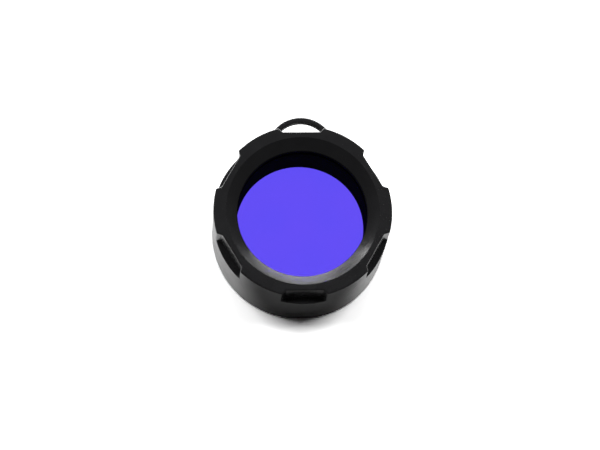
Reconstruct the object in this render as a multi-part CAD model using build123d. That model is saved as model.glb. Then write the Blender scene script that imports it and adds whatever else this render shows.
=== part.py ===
from build123d import *
from math import hypot, radians, tan
import os

# Flashlight filter: a black rubber ring that pushes onto a flashlight's head and holds a round pane
# of blue coated glass in front of the beam.
#
# Millimetres. The origin is on the optical axis, in the plane of the shoulder that the head seats
# against. +Z is the way the light leaves, +Y points to the lanyard loop. The ring stands on its
# rear rim, below the origin.

# Head socket at the rear. Its shoulder stops the head, and its mouth is chamfered to lead the head in.
SOCKET_RADIUS = 20.0
SOCKET_DEPTH = 6.3
SOCKET_LEAD_IN = 0.6
SHOULDER_WIDTH = 3.15

# Ring, outside.
SOCKET_WALL = 3.1
RING_LENGTH = 23.5
RIM_ROUND = 0.4
REAR_EDGE_CHAMFER = 0.6

# Light path: a bevelled mouth, then a lip in front of the glass.
BEVEL_WIDTH = 2.95
BEVEL_DEPTH = 2.8
LIP_THICKNESS = 1.35
LIP_EDGE_CHAMFER = 0.2

# Glass pane, snapped into a groove in the rubber.
GLASS_HELD_WIDTH = 1.15
GLASS_THICKNESS = 2.0
GLASS_SIDE_CLEARANCE = 0.2
GLASS_FACE_CLEARANCE = 0.05

# Grip notches round the front edge: a flat floor, sloping ends, and a flat ledge behind.
NOTCH_COUNT = 6
NOTCH_CUT = 1.8
NOTCH_FLOOR_WIDTH = 9.6
NOTCH_END_SLOPE = 42.0
NOTCH_LENGTH = 7.0
NOTCH_CORNER_ROUND = 0.6
LEDGE_INNER_CHAMFER = 0.3

# Lanyard loop: a bow over the first notch, set back from the front face. At the height of the
# notch's floor its inner line lies outside the floor's two ends.
LOOP_RISE = 2.8
LOOP_FOOT_SPREAD = 1.2
LOOP_BAND = 1.5
LOOP_THICKNESS = 2.2
LOOP_SETBACK = 1.75
LOOP_EDGE_ROUND = 0.5

# Radii that follow from the sizes above.
RING_RADIUS = SOCKET_RADIUS + SOCKET_WALL
NOTCH_FLOOR_DISTANCE = RING_RADIUS - NOTCH_CUT
APERTURE_RADIUS = SOCKET_RADIUS - SHOULDER_WIDTH
MOUTH_RADIUS = APERTURE_RADIUS + BEVEL_WIDTH
GLASS_RADIUS = APERTURE_RADIUS + GLASS_HELD_WIDTH
GROOVE_RADIUS = GLASS_RADIUS + GLASS_SIDE_CLEARANCE

# Heights that follow from the sizes above, from the rear rim to the front face.
REAR_Z = -SOCKET_DEPTH
FRONT_Z = REAR_Z + RING_LENGTH
LEDGE_Z = FRONT_Z - NOTCH_LENGTH
LIP_TOP_Z = FRONT_Z - BEVEL_DEPTH
GROOVE_TOP_Z = LIP_TOP_Z - LIP_THICKNESS
GLASS_FRONT_Z = GROOVE_TOP_Z - GLASS_FACE_CLEARANCE
GLASS_BACK_Z = GLASS_FRONT_Z - GLASS_THICKNESS
GROOVE_BOTTOM_Z = GLASS_BACK_Z - GLASS_FACE_CLEARANCE
LOOP_BACK_Z = FRONT_Z - LOOP_SETBACK - LOOP_THICKNESS

# How far a cutting shape runs past the surface it cuts, and how close counts as touching.
OVERSHOOT = 2.0
TOUCH = 0.001


def from_axis(point):
    """How far a point is from the optical axis."""
    return hypot(point.X, point.Y)


def notch_cutter():
    """What one grip notch takes out of the ring's wall, as a block on +X with its inner corners rounded."""
    reach = RING_RADIUS + OVERSHOOT
    half_floor = NOTCH_FLOOR_WIDTH / 2
    half_mouth = half_floor + (reach - NOTCH_FLOOR_DISTANCE) / tan(radians(NOTCH_END_SLOPE))
    outline = make_face(
        Polyline(
            (NOTCH_FLOOR_DISTANCE, -half_floor),
            (reach, -half_mouth),
            (reach, half_mouth),
            (NOTCH_FLOOR_DISTANCE, half_floor),
            close=True,
        )
    )
    outline = fillet(outline.vertices().group_by(Axis.X)[0], NOTCH_CORNER_ROUND)
    block = extrude(Pos(0, 0, LEDGE_Z) * outline, NOTCH_LENGTH + OVERSHOOT)
    on_ledge = block.faces().sort_by(Axis.Z)[0].edges().sort_by(Axis.X)[:-1]
    return chamfer(on_ledge, LEDGE_INNER_CHAMFER)


def is_rim(edge):
    """Whether an edge of the notched block is on its front face, or borders a notch on the wall."""
    lowest = edge.bounding_box().min.Z
    on_front = lowest > FRONT_Z - TOUCH
    on_wall = lowest > LEDGE_Z - TOUCH and from_axis(edge @ 0.5) > RING_RADIUS - TOUCH
    return on_front or on_wall


def outside_form():
    """The ring's outside as a solid block: a round wall, notched at the front, with rounded edges."""
    # The circle starts at +Y, inside the first notch.
    block = extrude(Pos(0, 0, REAR_Z) * Rot(0, 0, 90) * Circle(RING_RADIUS), RING_LENGTH)
    block = chamfer(block.edges().sort_by(Axis.Z)[0], REAR_EDGE_CHAMFER)
    for place in PolarLocations(0, NOTCH_COUNT, start_angle=90):
        block -= place * notch_cutter()
    return fillet(block.edges().filter_by(is_rim), RIM_ROUND)


def inside_form():
    """What is hollow in the ring: mouth, lip, glass groove, tunnel and head socket, as a turned solid."""
    lip_edge = (APERTURE_RADIUS, LIP_TOP_Z)
    section = make_face(
        Polyline(
            (0, FRONT_Z),
            (MOUTH_RADIUS, FRONT_Z),
            lip_edge,
            (APERTURE_RADIUS, GROOVE_TOP_Z),
            (GROOVE_RADIUS, GROOVE_TOP_Z),
            (GROOVE_RADIUS, GROOVE_BOTTOM_Z),
            (APERTURE_RADIUS, GROOVE_BOTTOM_Z),
            (APERTURE_RADIUS, 0),
            (SOCKET_RADIUS, 0),
            (SOCKET_RADIUS, REAR_Z + SOCKET_LEAD_IN),
            (SOCKET_RADIUS + SOCKET_LEAD_IN, REAR_Z),
            (0, REAR_Z),
            close=True,
        )
    )
    lip_corner = section.vertices().sort_by_distance((*lip_edge, 0))[0]
    return revolve(Plane.XZ * chamfer(lip_corner, LIP_EDGE_CHAMFER), Axis.Z)


def lanyard_loop():
    """The bow over the first notch: an arch of one radius, whose two feet end inside the ring's wall."""
    inner_top = RING_RADIUS + LOOP_RISE - LOOP_BAND
    height = inner_top - NOTCH_FLOOR_DISTANCE
    half_span = NOTCH_FLOOR_WIDTH / 2 + LOOP_FOOT_SPREAD
    inner_radius = (half_span**2 + height**2) / (2 * height)
    outer_radius = inner_radius + LOOP_BAND
    band = Circle(outer_radius) - Circle(inner_radius)
    bow = extrude(Pos(0, inner_top - inner_radius, LOOP_BACK_Z) * band, LOOP_THICKNESS)
    bow = fillet(bow.edges().filter_by(GeomType.CIRCLE), LOOP_EDGE_ROUND)
    foot_y = (MOUTH_RADIUS + NOTCH_FLOOR_DISTANCE) / 2
    kept_height = RING_RADIUS + LOOP_RISE - foot_y
    kept = Box(2 * outer_radius, kept_height, LOOP_THICKNESS, align=(Align.CENTER, Align.MIN, Align.MIN))
    return bow & Pos(0, foot_y, LOOP_BACK_Z) * kept


def housing():
    """The rubber moulding: ring and lanyard loop."""
    return outside_form() - inside_form() + lanyard_loop()


def filter_glass():
    """The coated pane, a flat disc."""
    return extrude(Pos(0, 0, GLASS_BACK_Z) * Circle(GLASS_RADIUS), GLASS_THICKNESS)


os.makedirs("parts", exist_ok=True)
export_step(housing(), "parts/housing.step")
export_step(filter_glass(), "parts/filter_glass.step")
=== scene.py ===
"""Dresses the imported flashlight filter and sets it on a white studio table.

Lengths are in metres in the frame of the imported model: the optical axis is Z, the lanyard loop is
towards +Y, and the ring stands on its rear rim. A name that ends in _mm is in millimetres, and
angles are in degrees.
"""

import logging
import math
from dataclasses import dataclass
from enum import Enum
from typing import Any, Iterable

import bpy
import numpy as np
from mathutils import Matrix, Vector


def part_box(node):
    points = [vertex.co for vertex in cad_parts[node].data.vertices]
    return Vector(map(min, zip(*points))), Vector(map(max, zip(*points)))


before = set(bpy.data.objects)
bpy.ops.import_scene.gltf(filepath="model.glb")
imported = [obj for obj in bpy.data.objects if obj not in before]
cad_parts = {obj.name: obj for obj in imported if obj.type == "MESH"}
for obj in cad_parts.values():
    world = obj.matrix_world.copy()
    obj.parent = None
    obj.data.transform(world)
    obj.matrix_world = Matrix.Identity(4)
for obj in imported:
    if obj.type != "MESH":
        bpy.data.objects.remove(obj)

log = logging.getLogger("flashlight_filter")

MM = 0.001
WHITE = (1.0, 1.0, 1.0, 1.0)

# Blender's noise runs from 0 to 1, and keeps mostly between these two.
NOISE_LOW, NOISE_HIGH = 0.3, 0.7

# Bounces are counted in whole numbers, so a count below this is none.
HALF_A_BOUNCE = 0.5


class Ray(Enum):
    """What the studio asks of a ray that meets it, by the name of Light Path's output."""

    CAMERA = "Is Camera Ray"
    GLOSSY = "Is Glossy Ray"
    TRANSMISSION = "Is Transmission Ray"
    DIFFUSE_BOUNCES = "Diffuse Depth"
    GLOSSY_BOUNCES = "Glossy Depth"


def linear(hex_colour: str) -> tuple[float, float, float, float]:
    """Turns an sRGB colour into a linear one, by the standard curve.

    Args:
        hex_colour: The colour as "#RRGGBB".

    Returns:
        Red, green, blue and an alpha of 1.
    """
    parts = [int(hex_colour[i:i + 2], 16) / 255 for i in (1, 3, 5)]
    red, green, blue = (p / 12.92 if p <= 0.04045 else ((p + 0.055) / 1.055) ** 2.4 for p in parts)
    return red, green, blue, 1.0


def add_node(tree: bpy.types.NodeTree, kind: str, inputs: dict[str | int, Any] | None = None,
             **settings: Any) -> bpy.types.Node:
    """Adds a node to a tree.

    Args:
        tree: The node tree.
        kind: The node's type, without its "ShaderNode" prefix.
        inputs: A value, or an output socket to link, for each input by name or number.
        settings: Attributes of the node itself.

    Returns:
        The new node.
    """
    node = tree.nodes.new("ShaderNode" + kind)
    for name, value in settings.items():
        setattr(node, name, value)
    for key, value in (inputs or {}).items():
        if isinstance(value, bpy.types.NodeSocket):
            tree.links.new(value, node.inputs[key])
        else:
            node.inputs[key].default_value = value
    return node


def new_tree(owner: bpy.types.Material | bpy.types.World) -> bpy.types.NodeTree:
    """Gives a material or a world an empty node tree.

    Args:
        owner: The material or world.

    Returns:
        Its tree, with no nodes.
    """
    owner.use_nodes = True
    owner.node_tree.nodes.clear()
    return owner.node_tree


def seen_through_pane(tree: bpy.types.NodeTree, rays: bpy.types.NodeOutputs) -> bpy.types.NodeSocket:
    """Tells the rays that go from the eye straight through the pane from all others.

    Args:
        tree: The node tree.
        rays: The outputs of its Light Path node.

    Returns:
        A socket that is 1 for a transmission ray that no surface has bounced, and 0 otherwise.
    """
    bounces = add_node(tree, "Math", {
        0: rays[Ray.DIFFUSE_BOUNCES.value], 1: rays[Ray.GLOSSY_BOUNCES.value],
    }, operation="ADD")
    straight = add_node(tree, "Math", {0: bounces.outputs[0], 1: HALF_A_BOUNCE}, operation="LESS_THAN")
    return add_node(tree, "Math", {
        0: rays[Ray.TRANSMISSION.value], 1: straight.outputs[0],
    }, operation="MULTIPLY").outputs[0]


def dress(piece: bpy.types.Object, finish: bpy.types.Material) -> None:
    """Gives every material slot of a piece one finish.

    Args:
        piece: The piece.
        finish: The material.
    """
    for place in piece.material_slots:
        place.material = finish
    if not piece.material_slots:
        piece.data.materials.append(finish)


def surface_mesh(name: str, points: np.ndarray) -> bpy.types.Object:
    """Makes a mesh from a grid of points that closes on itself round its second parameter.

    Row i and column j of the grid make the quad (i, j), (i, j + 1), (i + 1, j + 1), (i + 1, j),
    with the last column joined to the first.

    Args:
        name: The object's name.
        points: An array of rows by columns by 3.

    Returns:
        The new object, at the origin and linked to the scene.
    """
    rows, columns = points.shape[:2]
    index = np.arange(rows * columns).reshape(rows, columns)
    onward = np.roll(index, -1, axis=1)
    quads = np.stack([index[:-1], onward[:-1], onward[1:], index[1:]], axis=-1).reshape(-1, 4)
    mesh = bpy.data.meshes.new(name)
    mesh.from_pydata(points.reshape(-1, 3).tolist(), [], quads.tolist())
    mesh.update()
    piece = bpy.data.objects.new(name, mesh)
    bpy.context.scene.collection.objects.link(piece)
    return piece


@dataclass(frozen=True)
class MouldedRubber:
    """Black rubber from an etched steel mould: an even, satin skin with a fine grain.

    The eye gets a deep grey-black face on and a soft sheen at a grazing angle, with slow patches
    where a faint bloom makes the skin a little paler and duller.
    """

    name: str = "moulded_black_rubber"
    skin: str = "#1C1C1D"
    bloom: str = "#242425"
    roughness: float = 0.22
    roughness_spread: float = 0.03
    ior: float = 1.52
    grain_mm: float = 0.30
    grain_height_mm: float = 0.004
    patch_mm: float = 5.0
    patch_octaves: float = 3.0
    patch_octave_weight: float = 0.6

    def material(self) -> bpy.types.Material:
        """Builds the material on Object coordinates.

        Returns:
            The material.
        """
        mat = bpy.data.materials.new(self.name)
        tree = new_tree(mat)
        place = add_node(tree, "TexCoord").outputs["Object"]
        patches = add_node(tree, "TexNoise", {
            "Vector": place, "Scale": 1 / (self.patch_mm * MM),
            "Detail": self.patch_octaves, "Roughness": self.patch_octave_weight,
        }).outputs["Fac"]
        colour = add_node(tree, "Mix", {
            "Factor": patches, "A": linear(self.skin), "B": linear(self.bloom),
        }, data_type="RGBA")
        dullness = add_node(tree, "MapRange", {
            "Value": patches, "From Min": NOISE_LOW, "From Max": NOISE_HIGH,
            "To Min": self.roughness - self.roughness_spread,
            "To Max": self.roughness + self.roughness_spread,
        })
        # The mould's etching is about 0.05 mm across, too fine to show, so it is drawn coarser.
        grain = add_node(tree, "TexNoise", {"Vector": place, "Scale": 1 / (self.grain_mm * MM)})
        relief = add_node(tree, "Bump", {
            "Height": grain.outputs["Fac"], "Distance": self.grain_height_mm * MM,
        })
        shader = add_node(tree, "BsdfPrincipled", {
            "Base Color": colour.outputs["Result"],
            "Roughness": dullness.outputs["Result"],
            "IOR": self.ior,
            "Normal": relief.outputs["Normal"],
        })
        add_node(tree, "OutputMaterial", {"Surface": shader.outputs["BSDF"]})
        return mat


@dataclass(frozen=True)
class CoatedGlass:
    """Soda-lime glass, polished, with a blue-pass coating.

    The eye gets a deep, even violet blue wherever something white lies behind it, and no haze.
    """

    name: str = "polished_blue_coated_glass"
    tint: str = "#6A52FF"
    thin_tint: str = "#6352FF"
    roughness: float = 0.0
    ior: float = 1.52
    patch_mm: float = 9.0
    patch_octaves: float = 0.0

    def material(self) -> bpy.types.Material:
        """Builds the material on Object coordinates.

        Returns:
            The material.
        """
        mat = bpy.data.materials.new(self.name)
        tree = new_tree(mat)
        place = add_node(tree, "TexCoord").outputs["Object"]
        # The coating's thickness drifts slowly over the pane, and its blue with it.
        drift = add_node(tree, "TexNoise", {
            "Vector": place, "Scale": 1 / (self.patch_mm * MM), "Detail": self.patch_octaves,
        }).outputs["Fac"]
        colour = add_node(tree, "Mix", {
            "Factor": drift, "A": linear(self.tint), "B": linear(self.thin_tint),
        }, data_type="RGBA")
        shader = add_node(tree, "BsdfPrincipled", {
            "Base Color": colour.outputs["Result"],
            "Roughness": self.roughness,
            "IOR": self.ior,
            "Transmission Weight": 1.0,
        })
        add_node(tree, "OutputMaterial", {"Surface": shader.outputs["BSDF"]})
        return mat


@dataclass
class PackedSolid:
    """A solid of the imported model, which keeps its own mesh and gets its finish here."""

    node: str
    finish: MouldedRubber | CoatedGlass

    def build(self) -> bpy.types.Object:
        """Dresses the solid.

        Returns:
            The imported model's own object.
        """
        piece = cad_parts[self.node]
        dress(piece, self.finish.material())
        return piece


@dataclass
class RubberHousing(PackedSolid):
    """The moulded ring with its lanyard loop."""

    node: str = "housing"
    finish: MouldedRubber = MouldedRubber()


@dataclass
class FilterPane(PackedSolid):
    """The round pane of coated glass."""

    node: str = "filter_glass"
    finish: CoatedGlass = CoatedGlass()


@dataclass
class StudioTable:
    """The white table under the filter, a flat disc as wide as the studio.

    Its paper is off-white to the light in the room and overexposed to the camera. In gloss it is
    overexposed too, apart from a painted shadow: darker paper in front of the filter, seen only in
    gloss and mirrored by the ring's wall, with a soft edge between two given places on the Y axis.
    """

    height: float
    radius_mm: float = 3000.0
    innermost_mm: float = 2.0
    rings: int = 12
    spokes: int = 64
    paper: float = 0.9
    paper_to_camera: float = 2.0
    paper_in_gloss: float = 1.35
    shadow_in_gloss: float = 0.2
    shadow_edge_mm: tuple[float, float] = (-24.0, -14.0)

    def build(self) -> bpy.types.Object:
        """Makes the disc.

        A point of the disc is its radius times the cosine and the sine of its angle, at the table's
        height. The radii grow by equal factors, and one of nought closes the pole. The angles run
        clockwise, which turns the faces up.

        Returns:
            The table.
        """
        rings = np.geomspace(self.innermost_mm, self.radius_mm, self.rings)
        radius = np.concatenate([[0.0], rings]) * MM
        angle = np.linspace(0, 2 * math.pi, self.spokes, endpoint=False)
        r, a = np.meshgrid(radius, -angle, indexing="ij")
        points = np.stack([r * np.cos(a), r * np.sin(a), np.full_like(r, self.height)], axis=-1)
        table = surface_mesh("studio_table", points)
        dress(table, self.material())
        return table

    def material(self) -> bpy.types.Material:
        """Builds the white paper. The pane shows it as plain white, at a strength of 1.

        Returns:
            The material.
        """
        mat = bpy.data.materials.new("white_table_paper")
        tree = new_tree(mat)
        rays = add_node(tree, "LightPath").outputs
        # Camera and gloss each add what sets the paper they see apart from the plain one.
        place = add_node(tree, "TexCoord").outputs["Object"]
        # Painted shadow: gloss sees the paper darker in front of the filter, so the ring's wall
        # mirrors shade there.
        shadow_end, paper_start = self.shadow_edge_mm
        gloss = add_node(tree, "MapRange", {
            "Value": add_node(tree, "SeparateXYZ", {"Vector": place}).outputs["Y"],
            "From Min": shadow_end * MM, "From Max": paper_start * MM,
            "To Min": self.shadow_in_gloss - self.paper, "To Max": self.paper_in_gloss - self.paper,
        }, interpolation_type="SMOOTHSTEP")
        exposure = add_node(tree, "Math", {
            0: rays[Ray.CAMERA.value], 1: self.paper_to_camera - self.paper, 2: self.paper,
        }, operation="MULTIPLY_ADD")
        shown = add_node(tree, "Math", {
            0: rays[Ray.GLOSSY.value], 1: gloss.outputs["Result"], 2: exposure.outputs[0],
        }, operation="MULTIPLY_ADD")
        paper = add_node(tree, "BsdfDiffuse", {"Color": shown.outputs[0]})
        white = add_node(tree, "Emission", {"Color": WHITE, "Strength": 1.0})
        seen = add_node(tree, "MixShader", {
            "Fac": seen_through_pane(tree, rays), 1: paper.outputs[0], 2: white.outputs[0],
        })
        # From below the paper is clear, so that the ring's underside can be seen.
        below = add_node(tree, "NewGeometry").outputs["Backfacing"]
        clear = add_node(tree, "BsdfTransparent")
        sheet = add_node(tree, "MixShader", {"Fac": below, 1: seen.outputs[0], 2: clear.outputs[0]})
        add_node(tree, "OutputMaterial", {"Surface": sheet.outputs[0]})
        return mat


@dataclass
class StudioAir:
    """The world round the table: white to the camera and through the pane, and dark otherwise."""

    room: float = 0.02

    def build(self) -> bpy.types.World:
        """Makes the world and sets it.

        Returns:
            The world.
        """
        world = bpy.data.worlds.new("studio_air")
        tree = new_tree(world)
        rays = add_node(tree, "LightPath").outputs
        white_seen = add_node(tree, "Math", {
            0: rays[Ray.CAMERA.value], 1: seen_through_pane(tree, rays),
        }, operation="MAXIMUM")
        strength = add_node(tree, "MapRange", {
            "Value": white_seen.outputs[0], "To Min": self.room, "To Max": 1.0,
        })
        air = add_node(tree, "Background", {
            "Color": WHITE, "Strength": strength.outputs["Result"],
        })
        add_node(tree, "OutputWorld", {"Surface": air.outputs[0]})
        bpy.context.scene.world = world
        return world


@dataclass
class Softbox:
    """A rectangular studio lamp that faces the filter from a given side.

    Its place is given by its azimuth, clockwise from +Y as seen from above, its elevation over the
    table, and its distance from the filter. Its size is its width and its height.
    """

    name: str
    azimuth: float
    elevation: float
    distance_mm: float
    size_mm: tuple[float, float]
    brightness: float
    shows_in_gloss: bool

    def build(self) -> bpy.types.Object:
        """Adds the lamp. Its power grows with its area, so its face is as bright at any size.

        Returns:
            The lamp.
        """
        width, height = (side * MM for side in self.size_mm)
        lamp = bpy.data.lights.new(self.name, "AREA")
        lamp.shape = "RECTANGLE"
        lamp.size, lamp.size_y = width, height
        lamp.energy = self.brightness * math.pi * width * height
        box = bpy.data.objects.new(self.name, lamp)
        turn, rise = math.radians(self.azimuth), math.radians(self.elevation)
        level = math.cos(rise)
        way = Vector((math.sin(turn) * level, math.cos(turn) * level, math.sin(rise)))
        box.location = way * self.distance_mm * MM
        box.rotation_mode = "QUATERNION"
        box.rotation_quaternion = (-way).to_track_quat("-Z", "Y")
        box.visible_glossy = box.visible_transmission = self.shows_in_gloss
        bpy.context.scene.collection.objects.link(box)
        return box


@dataclass
class StudioLamps:
    """Two softboxes high over the filter's sides, and a low strip behind the lanyard loop.

    The softboxes light the rubber evenly and leave no glint of their own. The strip gleams along the
    rounded edges that turn towards the loop.
    """

    distance_mm: float = 900.0
    softbox_azimuth: float = 60.0
    softbox_elevation: float = 69.5
    softbox_mm: tuple[float, float] = (220.0, 220.0)
    softbox_brightness: float = 24.5
    strip_azimuth: float = 0.0
    strip_elevation: float = 8.5
    strip_mm: tuple[float, float] = (1600.0, 200.0)
    strip_brightness: float = 21.0

    def build(self) -> list[bpy.types.Object]:
        """Adds the left softbox, the right one and the strip.

        Returns:
            The three lamps.
        """
        sides = {"left_softbox": -self.softbox_azimuth, "right_softbox": self.softbox_azimuth}
        lamps = [
            Softbox(name, azimuth, self.softbox_elevation, self.distance_mm, self.softbox_mm,
                    self.softbox_brightness, shows_in_gloss=False)
            for name, azimuth in sides.items()
        ]
        lamps.append(Softbox("back_strip", self.strip_azimuth, self.strip_elevation, self.distance_mm,
                             self.strip_mm, self.strip_brightness, shows_in_gloss=True))
        return [lamp.build() for lamp in lamps]


@dataclass
class ProductCamera:
    """A camera at the photograph's angle, nearly over the filter and on the far side from the loop."""

    place_mm: tuple[float, float, float] = (-32.00, -159.17, 549.85)
    aim_mm: tuple[float, float, float] = (-0.865, -3.996, 17.2)
    roll: float = -1.253
    lens_mm: float = 129.86
    sensor_mm: float = 36.0
    nearest_mm: float = 10.0
    farthest_mm: float = 20000.0

    def build(self) -> bpy.types.Object:
        """Adds the camera, with +Y up in the picture apart from its roll.

        Returns:
            The camera.
        """
        data = bpy.data.cameras.new("product_camera")
        data.lens, data.sensor_width = self.lens_mm, self.sensor_mm
        data.clip_start, data.clip_end = self.nearest_mm * MM, self.farthest_mm * MM
        camera = bpy.data.objects.new("product_camera", data)
        place, aim = Vector(self.place_mm) * MM, Vector(self.aim_mm) * MM
        # The camera's own axes, right, up and back, are the columns of its turn.
        back = (place - aim).normalized()
        right = Vector((0, 1, 0)).cross(back).normalized()
        turn = Matrix((right, back.cross(right), back)).transposed().to_4x4()
        spin = Matrix.Rotation(math.radians(self.roll), 4, "Z")
        camera.matrix_world = Matrix.Translation(place) @ turn @ spin
        bpy.context.scene.collection.objects.link(camera)
        bpy.context.scene.camera = camera
        return camera


def main() -> None:
    """Builds the camera, the filter's pieces and the studio, in that order."""
    logging.basicConfig(level=logging.INFO, format="%(name)s: %(message)s")
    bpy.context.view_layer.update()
    bpy.context.scene.view_settings.view_transform = "Standard"
    ProductCamera().build()
    for maker in (RubberHousing(), FilterPane()):
        piece = maker.build()
        log.info("%s: %d faces, %s", piece.name, len(piece.data.polygons), maker.finish.name)
    table = StudioTable(height=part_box("housing")[0][2]).build()
    log.info("%s: %d faces", table.name, len(table.data.polygons))
    StudioAir().build()
    for lamp in StudioLamps().build():
        log.info("%s: %.1f W", lamp.name, lamp.data.energy)


if __name__ == "__main__":
    main()
